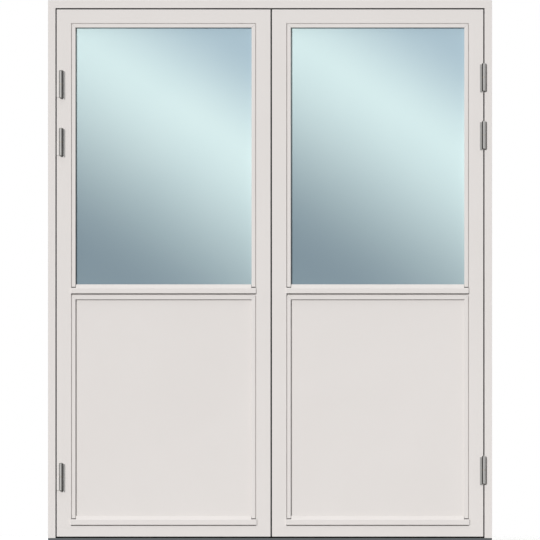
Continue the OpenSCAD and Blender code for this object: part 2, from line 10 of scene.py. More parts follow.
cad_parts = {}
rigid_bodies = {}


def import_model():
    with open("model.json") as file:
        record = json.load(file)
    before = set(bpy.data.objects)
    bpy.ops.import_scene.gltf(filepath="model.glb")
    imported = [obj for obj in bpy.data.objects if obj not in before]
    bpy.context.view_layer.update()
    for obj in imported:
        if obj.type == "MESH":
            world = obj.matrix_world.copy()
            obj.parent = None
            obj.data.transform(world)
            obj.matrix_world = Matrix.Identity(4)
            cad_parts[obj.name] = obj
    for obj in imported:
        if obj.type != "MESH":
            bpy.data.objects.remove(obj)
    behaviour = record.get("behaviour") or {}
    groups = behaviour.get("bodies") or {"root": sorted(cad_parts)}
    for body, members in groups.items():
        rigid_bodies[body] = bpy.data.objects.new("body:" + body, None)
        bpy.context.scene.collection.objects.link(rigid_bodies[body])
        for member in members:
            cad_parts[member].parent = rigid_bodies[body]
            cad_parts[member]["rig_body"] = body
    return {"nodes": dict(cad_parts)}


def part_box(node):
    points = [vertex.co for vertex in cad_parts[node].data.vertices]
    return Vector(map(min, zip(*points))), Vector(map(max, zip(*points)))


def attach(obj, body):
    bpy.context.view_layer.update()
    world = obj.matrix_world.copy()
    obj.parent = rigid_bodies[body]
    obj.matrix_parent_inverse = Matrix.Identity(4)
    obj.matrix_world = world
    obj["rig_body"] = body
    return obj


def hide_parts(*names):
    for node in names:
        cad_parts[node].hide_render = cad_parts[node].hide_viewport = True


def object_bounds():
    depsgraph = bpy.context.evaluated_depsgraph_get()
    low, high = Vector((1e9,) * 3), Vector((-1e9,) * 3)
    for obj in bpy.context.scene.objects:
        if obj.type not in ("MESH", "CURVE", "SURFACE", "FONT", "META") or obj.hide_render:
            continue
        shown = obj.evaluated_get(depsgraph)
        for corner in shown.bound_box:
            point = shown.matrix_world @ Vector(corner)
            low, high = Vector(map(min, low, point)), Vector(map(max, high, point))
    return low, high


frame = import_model()
NODES = frame["nodes"]
CAD_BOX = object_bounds()

bl_info = {
    "name": "French Doors",
    "version": (1, 0, 0),
    "blender": (4, 5, 0),
    "location": "3D View > Sidebar > French Doors",
    "description": "Eases, paints, glazes and furnishes a pair of French doors",
    "category": "Object",
}

SIDES = ("left", "right")
UPRIGHTS = ("left_jamb", "right_jamb", "left_stop", "right_stop",
            "left_hinge_stile", "left_meeting_stile", "right_hinge_stile", "right_meeting_stile")
LEVELS = ("head", "head_stop", "left_top_rail", "left_mid_rail", "left_bottom_rail",
          "right_top_rail", "right_mid_rail", "right_bottom_rail",
          "left_glass_sill_bead", "left_panel_sill_bead", "right_glass_sill_bead", "right_panel_sill_bead")
FLAT_BEADS = ("left_glass_beads", "left_panel_beads", "right_glass_beads", "right_panel_beads")

KNUCKLE = 0.008  # radius of a hinge's barrel, in metres


# ------------------------------------------------------------------ settings


def colour(name, description, default):
    """A colour property."""
    return FloatVectorProperty(name=name, description=description, subtype="COLOR", size=3,
                               min=0, max=1, default=default)


def length(name, description, default, highest):
    """A length property in metres."""
    return FloatProperty(name=name, description=description, unit="LENGTH", subtype="DISTANCE",
                         precision=5, min=0, max=highest, default=default)


def share(name, description, default):
    """A property from nothing to all."""
    return FloatProperty(name=name, description=description, subtype="FACTOR",
                         min=0, max=1, default=default)


def strength(name, description, default, highest):
    """The strength of a light."""
    return FloatProperty(name=name, description=description, min=0, max=highest, default=default)


def slope(name, description, default):
    """An angle away from level and straight ahead, given in degrees."""
    return FloatProperty(name=name, description=description, subtype="ANGLE",
                         min=0, max=1.2, default=math.radians(default))


class DoorPaint(bpy.types.PropertyGroup):
    """Sizes and colours of the painted timber and panels."""

    body: colour("Paint", "Colour of the paint", (0.688, 0.655, 0.635))
    thin: colour("Thin paint", "Colour where the paint lies thinner", (0.650, 0.616, 0.594))
    gloss: share("Roughness", "Roughness of the paint", 0.38)
    arris: length("Arris radius", "Radius of the eased edges", 0.0004, 0.002)


class DoorGlass(bpy.types.PropertyGroup):
    """Colours and place of the painted reflection of the sky in the glass's colour."""

    band: colour("Band", "Colour of the bright band", (0.713, 0.880, 0.884))
    upper: colour("Above", "Colour above the band", (0.432, 0.570, 0.650))
    deep: colour("Below", "Colour below the band", (0.224, 0.301, 0.348))
    band_height: length("Band height", "Height of the band at the middle of a pane", 1.79, 3.0)
    fall: FloatProperty(name="Fall", description="Fall of the band for each metre across",
                        min=-3, max=3, default=0.667)
    upper_reach: length("Reach above", "Height over which the band fades upwards", 0.44, 2.0)
    lower_reach: length("Reach below", "Height over which the band fades downwards", 0.88, 2.0)
    clear: share("Clear share", "Share of light that passes through the panes", 0.1)


class DoorMetal(bpy.types.PropertyGroup):
    """Colours of the metal parts, and the painted shade and painted light on the hinges."""

    zinc: colour("Hinges", "Colour of the zinc-plated hinges", (0.29, 0.285, 0.275))
    steel: colour("Lock parts", "Colour of the plated lock parts", (0.60, 0.60, 0.58))
    satin: colour("Handles", "Colour of the satin steel handles", (0.58, 0.57, 0.55))
    brass: colour("Washers", "Colour of the dull brass washers", (0.34, 0.26, 0.13))
    cover: colour("Threshold cover", "Colour of the anodised threshold cover", (0.100, 0.104, 0.109))
    # painted shade on the barrels' side towards the leaf and on the straps where they cross the gap
    painted_shade: colour("Shade", "Colour of the old grease on the hinges", (0.03, 0.028, 0.026))
    # painted light on the barrels' far side and on the plates where the barrels' shadows fall
    pale: colour("Pale zinc", "Colour of the hinges where the zinc has stayed bright", (0.80, 0.79, 0.77))


class DoorDarks(bpy.types.PropertyGroup):
    """Colours of oak, rubber, foam and spacer, and the reach of the weather seals."""

    oak: colour("Oak", "Colour of the oiled oak", (0.42, 0.25, 0.12))
    oak_grain: colour("Oak grain", "Colour of the oak's late wood", (0.24, 0.125, 0.055))
    rubber: colour("Seals", "Colour of the rubber seals", (0.022, 0.022, 0.024))
    tape: colour("Tape", "Colour of the glazing tape", (0.035, 0.035, 0.036))
    seal_out: length("Seal reach", "How far a leaf's weather seal stands out from its edge", 0.0028, 0.004)
    lip_out: length("Meeting lip", "How far it stands out at the meeting edge", 0.0036, 0.005)
    spacer: colour("Spacer", "Colour of the glass unit's spacer", (0.10, 0.10, 0.105))
    foam: colour("Foam", "Colour of the panels' foam core", (0.34, 0.42, 0.47))


class DoorStage(bpy.types.PropertyGroup):
    """Camera, lights and floor."""

    width: length("Picture width", "Width that the camera takes in", 2.16486, 6.0)
    height: length("Camera height", "Height of the camera above the floor", 1.09757, 3.0)
    distance: length("Camera distance", "Distance of the camera in front of the doors", 80.0, 95.0)
    key: strength("Key light", "Strength of the light from the upper left", 2.95, 10)
    top: strength("Top light", "Strength of the light from above", 0.7, 10)
    back: strength("Back light", "Strength of the light on the inner side", 2.6, 10)
    fill: strength("Fill light", "Strength of the surrounding light", 0.16, 2)
    gleam: strength("Gleam", "How much brighter the surroundings are in reflections", 2.4, 10)
    slant: slope("Key slant", "How far to the left the key light stands", 24)
    pitch: slope("Key pitch", "How far up the key light stands", 17)
    floor: colour("Floor", "Colour of the floor", (0.86, 0.86, 0.86))


GROUPS = {"door_paint": DoorPaint, "door_glass": DoorGlass, "door_metal": DoorMetal,
          "door_darks": DoorDarks, "door_stage": DoorStage}


# --------------------------------------------------------------------- nodes


def put(tree, kind, wires=None, **settings):
    """Adds a node, gives it its settings, and wires or sets its inputs."""
    made = tree.nodes.new(kind)
    for name, value in settings.items():
        setattr(made, name, value)
    wire(tree, made, wires or {})
    return made


def wire(tree, made, wires):
    """Wires or sets a node's inputs; a colour gets its fourth value."""
    for name, value in wires.items():
        socket = made.inputs[name]
        if isinstance(value, bpy.types.NodeSocket):
            tree.links.new(value, socket)
        else:
            socket.default_value = (*value[:3], 1) if socket.type == "RGBA" else value


def maths(tree, operation, first, second=0.0, clamp=False):
    """A Math node's output."""
    made = put(tree, "ShaderNodeMath", {0: first, 1: second}, operation=operation, use_clamp=clamp)
    return made.outputs[0]


def blend(tree, mask, first, second):
    """Two colours mixed by a mask."""
    made = put(tree, "ShaderNodeMix", {0: mask, 6: first, 7: second}, data_type="RGBA")
    return made.outputs[2]


def spread(tree, value, low, high, start=0.0, end=1.0, interpolation="LINEAR"):
    """A value stretched from one range to another."""
    made = put(tree, "ShaderNodeMapRange", {0: value, 1: low, 2: high, 3: start, 4: end},
               interpolation_type=interpolation)
    return made.outputs[0]


def scaled(tree, vector, factors):
    """A vector multiplied axis by axis."""
    return put(tree, "ShaderNodeVectorMath", {0: vector, 1: factors}, operation="MULTIPLY").outputs[0]


def noise(tree, vector, scale, detail=2.0, roughness=0.5, distortion=0.0):
    """A noise value over a vector."""
    return put(tree, "ShaderNodeTexNoise", {"Vector": vector, "Scale": scale, "Detail": detail,
                                            "Roughness": roughness, "Distortion": distortion}).outputs[0]


def effect(name, inputs, outputs):
    """A new node group with these sockets: its tree, its incoming sockets and its output node."""
    tree = bpy.data.node_groups.new(name, "ShaderNodeTree")
    for label, kind, default in inputs:
        tree.interface.new_socket(label, in_out="INPUT", socket_type=kind).default_value = default
    for label, kind in outputs:
        tree.interface.new_socket(label, in_out="OUTPUT", socket_type=kind)
    return tree, tree.nodes.new("NodeGroupInput").outputs, tree.nodes.new("NodeGroupOutput")


VECTOR, FLOAT, RGBA = "NodeSocketVector", "NodeSocketFloat", "NodeSocketColor"


def streaks_effect():
    """Fine streaks along one direction, for brush marks, grain that shows through and drawn metal."""
    tree, given, out = effect("Streaks",
                              [("Vector", VECTOR, (0, 0, 0)), ("Stretch", VECTOR, (900, 900, 12)),
                               ("Detail", FLOAT, 3.0)],
                              [("Mask", FLOAT)])
    along = scaled(tree, given["Vector"], given["Stretch"])
    fine = noise(tree, along, 1.0, given["Detail"], 0.6)
    broad = noise(tree, along, 0.17, 2.0, 0.5)
    mixed = maths(tree, "ADD", maths(tree, "MULTIPLY", fine, 0.65), maths(tree, "MULTIPLY", broad, 0.35))
    tree.links.new(spread(tree, mixed, 0.3, 0.7), out.inputs["Mask"])
    return tree


def clouds_effect():
    """Slow, soft changes of tone over a surface, as in paint, plating or rubber."""
    tree, given, out = effect("Clouds",
                              [("Vector", VECTOR, (0, 0, 0)), ("Size", FLOAT, 3.0),
                               ("First", RGBA, (1, 1, 1, 1)), ("Second", RGBA, (0, 0, 0, 1)),
                               ("Amount", FLOAT, 1.0)],
                              [("Color", RGBA), ("Mask", FLOAT)])
    soft = noise(tree, given["Vector"], given["Size"], 3.0, 0.55, 0.4)
    spots = spread(tree, soft, 0.3, 0.75, interpolation="SMOOTHSTEP")
    mask = maths(tree, "MULTIPLY", spots, given["Amount"])
    tree.links.new(blend(tree, mask, given["First"], given["Second"]), out.inputs["Color"])
    tree.links.new(mask, out.inputs["Mask"])
    return tree


def grit_effect():
    """Small, even roughness, as orange peel in paint or the skin of rubber and foam."""
    tree, given, out = effect("Grit",
                              [("Vector", VECTOR, (0, 0, 0)), ("Size", FLOAT, 400.0)],
                              [("Height", FLOAT)])
    coarse = noise(tree, given["Vector"], given["Size"], 2.0, 0.6)
    fine = noise(tree, given["Vector"], maths(tree, "MULTIPLY", given["Size"], 3.7), 1.0, 0.5)
    both = maths(tree, "ADD", maths(tree, "MULTIPLY", coarse, 0.7), maths(tree, "MULTIPLY", fine, 0.3))
    tree.links.new(both, out.inputs["Height"])
    return tree


def wear_effect():
    """Where edges have been rubbed: the rounded normal leaves the true one there."""
    tree, given, out = effect("Rubbed Edges",
                              [("Vector", VECTOR, (0, 0, 0)), ("Width", FLOAT, 0.0008),
                               ("Break", FLOAT, 260.0)],
                              [("Mask", FLOAT)])
    rounded = put(tree, "ShaderNodeBevel", {"Radius": given["Width"]}, samples=4)
    true = put(tree, "ShaderNodeNewGeometry")
    turn = put(tree, "ShaderNodeVectorMath", {0: rounded.outputs[0], 1: true.outputs["Normal"]},
               operation="DOT_PRODUCT")
    edge = spread(tree, turn.outputs["Value"], 0.99, 0.82)
    broken = spread(tree, noise(tree, given["Vector"], given["Break"], 3.0, 0.6), 0.35, 0.62)
    tree.links.new(maths(tree, "MULTIPLY", edge, broken, clamp=True), out.inputs["Mask"])
    return tree


def oak_effect():
    """Plain-sawn oak along X: rings, pores and slow changes of tone."""
    tree, given, out = effect("Oak Grain",
                              [("Vector", VECTOR, (0, 0, 0)), ("Early", RGBA, (0.4, 0.25, 0.12, 1)),
                               ("Late", RGBA, (0.2, 0.12, 0.05, 1))],
                              [("Color", RGBA), ("Height", FLOAT), ("Pores", FLOAT)])
    log = scaled(tree, given["Vector"], (1.1, 26, 26))
    rings = put(tree, "ShaderNodeTexWave",
                {"Vector": log, "Scale": 1.6, "Distortion": 7.0, "Detail": 3.0, "Detail Scale": 0.7},
                wave_type="RINGS", rings_direction="X").outputs["Fac"]
    fibres = scaled(tree, given["Vector"], (45, 1500, 1500))
    pores = spread(tree, noise(tree, fibres, 1.0, 2.0, 0.5), 0.56, 0.70)
    tone = maths(tree, "ADD", maths(tree, "MULTIPLY", rings, 0.6),
                 maths(tree, "MULTIPLY", noise(tree, log, 3.0, 4.0), 0.4), clamp=True)
    dark = maths(tree, "ADD", tone, maths(tree, "MULTIPLY", pores, 0.35), clamp=True)
    tree.links.new(blend(tree, dark, given["Early"], given["Late"]), out.inputs["Color"])
    tree.links.new(maths(tree, "SUBTRACT", maths(tree, "MULTIPLY", tone, 0.2), pores), out.inputs["Height"])
    tree.links.new(pores, out.inputs["Pores"])
    return tree


EFFECTS = {"Streaks": streaks_effect, "Clouds": clouds_effect, "Grit": grit_effect,
           "Rubbed Edges": wear_effect, "Oak Grain": oak_effect}


def use(tree, name, wires):
    """A shared effect placed in a material: its outputs."""
    group = bpy.data.node_groups.get(name) or EFFECTS[name]()
    made = tree.nodes.new("ShaderNodeGroup")
    made.node_tree = group
    wire(tree, made, wires)
    return made.outputs


def finish_of(name):
    """An empty material: itself, its tree, the object's coordinates and its shader."""
    material = bpy.data.materials.new(name)
    material.use_nodes = True
    tree = material.node_tree
    tree.nodes.clear()
    shader = put(tree, "ShaderNodeBsdfPrincipled")
    put(tree, "ShaderNodeOutputMaterial", {"Surface": shader.outputs[0]})
    return material, tree, put(tree, "ShaderNodeTexCoord").outputs["Object"], shader


def relief(tree, shader, height, depth):
    """Gives a shader a bump of a real depth."""
    bump = put(tree, "ShaderNodeBump", {"Height": height, "Distance": depth, "Strength": 1.0})
    tree.links.new(bump.outputs[0], shader.inputs["Normal"])


# ----------------------------------------------------------------- materials


def paint(name, stretch, settings):
    """Satin paint on timber whose grain runs one way."""
    material, tree, place, shader = finish_of(name)
    grain = use(tree, "Streaks", {"Vector": place, "Stretch": stretch, "Detail": 4.0})
    tone = use(tree, "Clouds", {"Vector": place, "Size": 2.4, "First": settings.body,
                                "Second": settings.thin, "Amount": 0.35})
    shade = blend(tree, maths(tree, "MULTIPLY", grain["Mask"], 0.14), tone["Color"], settings.thin)
    tree.links.new(shade, shader.inputs["Base Color"])
    peel = use(tree, "Grit", {"Vector": place, "Size": 320.0})
    rough = maths(tree, "MULTIPLY", peel["Height"], 0.12)
    tree.links.new(maths(tree, "ADD", rough, settings.gloss - 0.06), shader.inputs["Roughness"])
    height = maths(tree, "ADD", maths(tree, "MULTIPLY", grain["Mask"], 0.5),
                   maths(tree, "MULTIPLY", peel["Height"], 0.5))
    relief(tree, shader, height, 0.00012)
    shader.inputs["Specular IOR Level"].default_value = 0.4
    return material


def glazing(name, middle, settings):
    """Glass whose colour holds a painted reflection: a band of bright sky, centred on one pane."""
    material, tree, place, shader = finish_of(name)
    at = put(tree, "ShaderNodeSeparateXYZ", {0: place}).outputs
    across = maths(tree, "SUBTRACT", at["X"], middle)
    centre = maths(tree, "SUBTRACT", settings.band_height, maths(tree, "MULTIPLY", across, settings.fall))
    above = maths(tree, "SUBTRACT", at["Z"], centre)
    up = spread(tree, above, 0.0, settings.upper_reach, interpolation="SMOOTHSTEP")
    down = spread(tree, above, 0.0, -settings.lower_reach, interpolation="SMOOTHSTEP")
    # painted reflection: the band of sky and its fades are laid into the glass's base colour
    tint = blend(tree, maths(tree, "POWER", up, 0.9), settings.band, settings.upper)
    tint = blend(tree, maths(tree, "POWER", down, 0.8), tint, settings.deep)
    drift = use(tree, "Clouds", {"Vector": place, "Size": 1.7, "First": (1, 1, 1),
                                 "Second": (0.97, 0.98, 0.985), "Amount": 1.0})
    both = put(tree, "ShaderNodeMix", {0: 1.0, 6: tint, 7: drift["Color"]}, data_type="RGBA",
               blend_type="MULTIPLY")
    tree.links.new(both.outputs[2], shader.inputs["Base Color"])
    wave = noise(tree, place, 2.2, 1.0)
    relief(tree, shader, wave, 0.0004)
    smear = spread(tree, noise(tree, place, 9.0, 4.0), 0.3, 0.8, 0.02, 0.07)
    tree.links.new(smear, shader.inputs["Roughness"])
    shader.inputs["IOR"].default_value = 1.52
    shader.inputs["Transmission Weight"].default_value = settings.clear
    return material


def metal(name, tint, dull, rough, stretch=None, wear=0.0, mottle=0.25, metallic=1.0):
    """Metal with its streaks, mottling and rubbed edges: material, tree, place, shader and colour."""
    material, tree, place, shader = finish_of(name)
    base = use(tree, "Clouds", {"Vector": place, "Size": 60.0, "First": tint, "Second": dull,
                                "Amount": mottle})
    shade = base["Color"]
    # a roughness change only, with no painted light
    roughness_and_highlight = maths(tree, "MULTIPLY", base["Mask"], 0.1)
    if stretch:
        lines = use(tree, "Streaks", {"Vector": place, "Stretch": stretch, "Detail": 2.0})["Mask"]
        shade = blend(tree, maths(tree, "MULTIPLY", lines, 0.3), shade, dull)
        roughness_and_highlight = maths(tree, "ADD", roughness_and_highlight, maths(tree, "MULTIPLY", lines, 0.12))
        relief(tree, shader, lines, 0.00002)
    else:
        relief(tree, shader, use(tree, "Grit", {"Vector": place, "Size": 900.0})["Height"], 0.00003)
    if wear:
        worn = use(tree, "Rubbed Edges", {"Vector": place, "Width": 0.0006})["Mask"]
        bright = tuple(min(1.0, c * 1.35 + 0.03) for c in tint)
        shade = blend(tree, maths(tree, "MULTIPLY", worn, wear), shade, bright)
    tree.links.new(shade, shader.inputs["Base Color"])
    tree.links.new(maths(tree, "ADD", roughness_and_highlight, rough), shader.inputs["Roughness"])
    shader.inputs["Metallic"].default_value = metallic
    return material, tree, place, shader, shade


def darker(tint, by=0.75):
    """A darker tone of a colour."""
    return tuple(c * by for c in tint)


def hinge_finish(name, settings, axis, paint_tint, inwards, painted_shade, start, roughness_and_highlight, painted_plate_light):
    """Zinc plate, painted over where its strap crosses the leaf's edge, with painted light and shade on it.

    axis is the barrel's X and inwards the way to the leaf, 1 or -1. The next amounts paint shade on the
    barrel's side towards the leaf from start metres off its axis, a painted highlight on its far side, and
    painted light on the plate next to it where the barrel's shadow falls. Where the strap crosses the gap it
    gets painted shade.
    """
    zinc = settings.zinc
    material, tree, place, shader, shade = metal(name, zinc, darker(zinc, 0.8), 0.48, wear=0.3)
    at = put(tree, "ShaderNodeSeparateXYZ", {0: place}).outputs
    off = maths(tree, "MULTIPLY", maths(tree, "SUBTRACT", at["X"], axis), inwards)
    behind = CAD_BOX[0].y + 2 * KNUCKLE
    front = spread(tree, at["Y"], behind + 0.0001, behind - 0.0005)
    # painted shade: the barrel's side towards the leaf is darkened to stand for its shaded side
    shaded_side = maths(tree, "MULTIPLY", spread(tree, off, start, 0.0050, interpolation="SMOOTHSTEP"), front)
    shaded_side = maths(tree, "MULTIPLY", shaded_side, spread(tree, off, KNUCKLE + 0.0003, KNUCKLE))
    # painted highlight: the barrel's far side is paled against its shading
    outer = maths(tree, "MULTIPLY", spread(tree, off, 0.0015, -0.003, interpolation="SMOOTHSTEP"), front)
    # painted light: the plate strip where the barrel's shadow falls is paled
    shadowed_strip = maths(tree, "MULTIPLY", spread(tree, off, KNUCKLE + 0.0001, KNUCKLE + 0.0003),
                   spread(tree, off, KNUCKLE + 0.0045, KNUCKLE + 0.0015))
    strap = spread(tree, off, -KNUCKLE - 0.0001, -KNUCKLE - 0.0004)
    # painted shade: the strap is coloured dark where it crosses the gap, like the shaded gap around it
    in_gap = spread(tree, off, -2 * KNUCKLE - 0.0006, -2 * KNUCKLE - 0.0010)
    # the painted highlight, painted shade and painted light go on the zinc, then the strap's white paint and
    # the painted shade in the gap
    shade = blend(tree, maths(tree, "MULTIPLY", outer, roughness_and_highlight), shade, settings.pale)
    shade = blend(tree, maths(tree, "MULTIPLY", shaded_side, painted_shade), shade, settings.painted_shade)
    shade = blend(tree, maths(tree, "MULTIPLY", shadowed_strip, painted_plate_light), shade, settings.pale)
    shade = blend(tree, in_gap, blend(tree, strap, shade, paint_tint), settings.painted_shade)
    tree.links.new(shade, shader.inputs["Base Color"])
    bare = maths(tree, "SUBTRACT", 1.0, strap)
    tree.links.new(maths(tree, "MULTIPLY", bare, 0.6), shader.inputs["Metallic"])
    return material


def oak(name, settings):
    """Oiled oak."""
    material, tree, place, shader = finish_of(name)
    grain = use(tree, "Oak Grain", {"Vector": place, "Early": settings.oak,
                                    "Late": settings.oak_grain})
    tree.links.new(grain["Color"], shader.inputs["Base Color"])
    tree.links.new(spread(tree, grain["Pores"], 0.0, 1.0, 0.42, 0.62), shader.inputs["Roughness"])
    relief(tree, shader, grain["Height"], 0.00018)
    return material


def rubber(name, tint, size, rough, depth):
    """Rubber, tape or foam with a fine skin."""
    material, tree, place, shader = finish_of(name)
    skin = use(tree, "Grit", {"Vector": place, "Size": size})["Height"]
    tone = use(tree, "Clouds", {"Vector": place, "Size": 30.0, "First": tint,
                                "Second": tuple(c * 1.5 + 0.01 for c in tint), "Amount": 0.5})
    tree.links.new(tone["Color"], shader.inputs["Base Color"])
    tree.links.new(spread(tree, skin, 0.3, 0.7, rough - 0.06, rough + 0.08), shader.inputs["Roughness"])
    relief(tree, shader, skin, depth)
    return material


# -------------------------------------------------------------------- pieces

SAME_POINT = 2e-6  # corners nearer than this are merged
FLAT = math.radians(0.4)  # faces that turn less than this become one
ARRIS = math.radians(30)  # edges that turn more than this are eased
SHORTEST = 0.004  # edges shorter than this stay sharp
EDGE_STRIP = 0.004  # the strip along a leaf's own edges in which its outer face is eased


def give(material, *names):
    """Puts a material on CAD nodes."""
    for name in names:
        for slot in NODES[name].material_slots:
            slot.material = material


def joined(edge, leaf):
    """Whether an arris lies in the outer face, away from its leaf's own edges."""
    ends = [vert.co for vert in edge.verts]
    if not leaf or any(abs(end.y - OUTER_FACE) > 0.0002 for end in ends):
        return False
    axis = "x" if abs(ends[0].x - ends[1].x) < 0.001 else "z"
    low, high = (getattr(corner, axis) for corner in leaf)
    return all(low + EDGE_STRIP < getattr(end, axis) < high - EDGE_STRIP for end in ends)


def leaf_box(side):
    """A leaf's corners, from its two stiles."""
    hinge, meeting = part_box(side + "_hinge_stile"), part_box(side + "_meeting_stile")
    return Vector(map(min, hinge[0], meeting[0])), Vector(map(max, hinge[1], meeting[1]))


LEAF_BOXES = {side + "_leaf": leaf_box(side) for side in SIDES}
OUTER_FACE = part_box("head")[0].y


def eased(name, radius, material):
    """A welded copy of a CAD node with its long arrises rounded, standing for that node.

    Outer arrises that meet another timber in one plane stay sharp, so that the joints close.
    """
    source = NODES[name]
    shape = bmesh.new()
    shape.from_mesh(source.data)
    bmesh.ops.remove_doubles(shape, verts=shape.verts, dist=SAME_POINT)
    bmesh.ops.dissolve_limit(shape, angle_limit=FLAT, verts=shape.verts, edges=shape.edges)
    leaf = LEAF_BOXES.get(source["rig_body"])
    arrises = [edge for edge in shape.edges if edge.is_manifold and edge.is_convex
               and edge.calc_face_angle() > ARRIS and edge.calc_length() > SHORTEST
               and not joined(edge, leaf)]
    bmesh.ops.bevel(shape, geom=arrises, offset=radius, offset_type="OFFSET", affect="EDGES",
                    segments=2, profile=0.5, material=-1, clamp_overlap=True)
    piece = placed(name + "_eased", shape, material)
    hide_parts(name)
    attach(piece, source["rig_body"])
    return piece


def ring_seal(name, low, high, outs, depth, material):
    """A hollow-bulb seal let into a leaf's four edges, mitred at the corners.

    outs is how far it stands out at the low-X edge, the high-X edge, the foot and the head.
    """
    section = ((-0.12, 0.0), (0.30, 0.0), (0.75, 0.0009), (1.0, 0.0022), (1.0, 0.0031), (0.75, 0.0043),
               (0.30, 0.0052), (-0.12, 0.0052), (-0.12, 0.0))
    middle = (low + high) / 2
    upright = Matrix.Translation(middle) @ Matrix.Rotation(math.pi / 2, 4, "X") @ Matrix.Rotation(
        math.pi / 4, 4, "Z")
    shape = bmesh.new()
    bmesh.ops.create_circle(shape, segments=4, radius=0.1, matrix=upright)
    ring = list(shape.edges)
    for step, (out, back) in enumerate(section):
        if step:
            grown = bmesh.ops.extrude_edge_only(shape, edges=ring)["geom"]
            ring = [part for part in grown if isinstance(part, bmesh.types.BMEdge)]
        for corner in {vert for edge in ring for vert in edge.verts}:
            east, top = corner.co.x > middle.x, corner.co.z > middle.z
            corner.co = (high.x + out * outs[1] if east else low.x - out * outs[0], low.y + depth + back,
                         high.z + out * outs[3] if top else low.z - out * outs[2])
    bmesh.ops.remove_doubles(shape, verts=shape.verts, dist=SAME_POINT)
    bmesh.ops.recalc_face_normals(shape, faces=shape.faces)
    put_in_order(shape)
    return placed(name, shape, material, smooth=True)


def put_in_order(shape):
    """Sorts a bmesh's faces by their corners, because extruding makes them in no fixed order."""
    shape.verts.index_update()
    in_order = sorted(shape.faces, key=lambda face: sorted(vert.index for vert in face.verts))
    for index, face in enumerate(in_order):
        face.index = index
    shape.faces.sort()


def placed(name, shape, material, smooth=False):
    """Turns a bmesh into an object with its material."""
    for face in shape.faces:
        face.smooth = smooth
    mesh = bpy.data.meshes.new(name)
    shape.to_mesh(mesh)
    shape.free()
    if smooth:
        mesh.set_sharp_from_angle(angle=math.radians(35))
    piece = bpy.data.objects.new(name, mesh)
    bpy.context.scene.collection.objects.link(piece)
    mesh.materials.append(material)
    return piece


# ----------------------------------------------------------------- operators


class PaintTimber(bpy.types.Operator):
    """Ease the edges of the frame's and leaves' timber and paint it"""

    bl_idname = "frenchdoors.paint_timber"
    bl_label = "Paint the timber"

    def execute(self, context):
        settings = context.scene.door_paint
        upright = paint("painted_uprights", (700, 700, 9), settings)
        level = paint("painted_rails", (9, 700, 700), settings)
        for name in UPRIGHTS:
            eased(name, settings.arris, upright)
        for name in LEVELS:
            eased(name, settings.arris, level)
        for name in FLAT_BEADS:
            eased(name, settings.arris, upright)
        return {"FINISHED"}


class PaintPanels(bpy.types.Operator):
    """Paint the lower panels and finish their foam cores"""

    bl_idname = "frenchdoors.paint_panels"
    bl_label = "Paint the panels"

    def execute(self, context):
        scene = context.scene
        give(paint("painted_panels", (260, 260, 260), scene.door_paint),
             *[side + "_panel_skins" for side in SIDES])
        give(rubber("panel_foam", scene.door_darks.foam, 700.0, 0.85, 0.0002),
             *[side + "_panel_core" for side in SIDES])
        return {"FINISHED"}


class Glaze(bpy.types.Operator):
    """Give each leaf its panes, painted with a reflection of the sky, and dark spacer"""

    bl_idname = "frenchdoors.glaze"
    bl_label = "Glaze the leaves"

    def execute(self, context):
        scene = context.scene
        spacer = rubber("glass_spacer", scene.door_darks.spacer, 500.0, 0.5, 0.00004)
        for side in SIDES:
            low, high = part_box(side + "_glass_panes")
            middle = (low.x + high.x) / 2
            give(glazing(side + "_glass_painted_reflection", middle, scene.door_glass), side + "_glass_panes")
            give(spacer, side + "_glass_spacer")
        return {"FINISHED"}


class FinishSill(bpy.types.Operator):
    """Oil the oak threshold and anodise its cover"""

    bl_idname = "frenchdoors.finish_sill"
    bl_label = "Finish the threshold"

    def execute(self, context):
        scene = context.scene
        give(oak("oiled_oak", scene.door_darks), "threshold")
        cover = scene.door_metal.cover
        finish = metal("anodised_cover", cover, darker(cover, 0.72), 0.36, stretch=(7, 900, 900),
                       wear=0.6, mottle=0.3, metallic=0.6)[0]
        give(finish, "threshold_cover")
        return {"FINISHED"}


# How much painted shade and painted light each side's hinges get: shade on the barrel's side towards the
# leaf from a given distance off its axis, a highlight on its far side, and light on the plate where the
# barrel's shadow falls.
HINGE_MARKS = {"left": {"inwards": 1, "painted_shade": 0.85, "start": 0.0043, "roughness_and_highlight": 0.0, "painted_plate_light": 1.0},
               "right": {"inwards": -1, "painted_shade": 0.96, "start": 0.0006, "roughness_and_highlight": 0.5, "painted_plate_light": 0.0}}


class FinishHinges(bpy.types.Operator):
    """Plate the hinges and finish their pins, washers and screws"""

    bl_idname = "frenchdoors.finish_hinges"
    bl_label = "Finish the hinges"

    def execute(self, context):
        scene = context.scene
        settings = scene.door_metal
        for side, marks in HINGE_MARKS.items():
            low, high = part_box(side + "_leaf_hinges")
            axis = low.x + KNUCKLE if side == "left" else high.x - KNUCKLE
            finish = hinge_finish(side + "_zinc_hinges", settings, axis,
                                  paint_tint=scene.door_paint.body, **marks)
            give(finish, side + "_frame_hinges", side + "_leaf_hinges")
        give(metal("plated_pins", settings.steel, darker(settings.steel), 0.24)[0],
             "hinge_pins", "hinge_screws")
        give(metal("brass_washers", settings.brass, darker(settings.brass), 0.3)[0], "hinge_washers")
        return {"FINISHED"}


class FinishLocks(bpy.types.Operator):
    """Plate the lock cases, rods, keeps and fixing sleeves"""

    bl_idname = "frenchdoors.finish_locks"
    bl_label = "Finish the locks"

    def execute(self, context):
        steel = context.scene.door_metal.steel
        upright = metal("plated_upright", steel, darker(steel), 0.28, stretch=(1100, 1100, 11), wear=0.4)[0]
        plain = metal("plated_plain", steel, darker(steel, 0.7), 0.34, mottle=0.6)[0]
        give(upright, *[side + part for side in SIDES for part in ("_lock_case", "_top_rod", "_bottom_rod")])
        give(plain, "head_keep", "sill_keep", "fixing_sleeves", *[side + "_lock_hub" for side in SIDES])
        return {"FINISHED"}


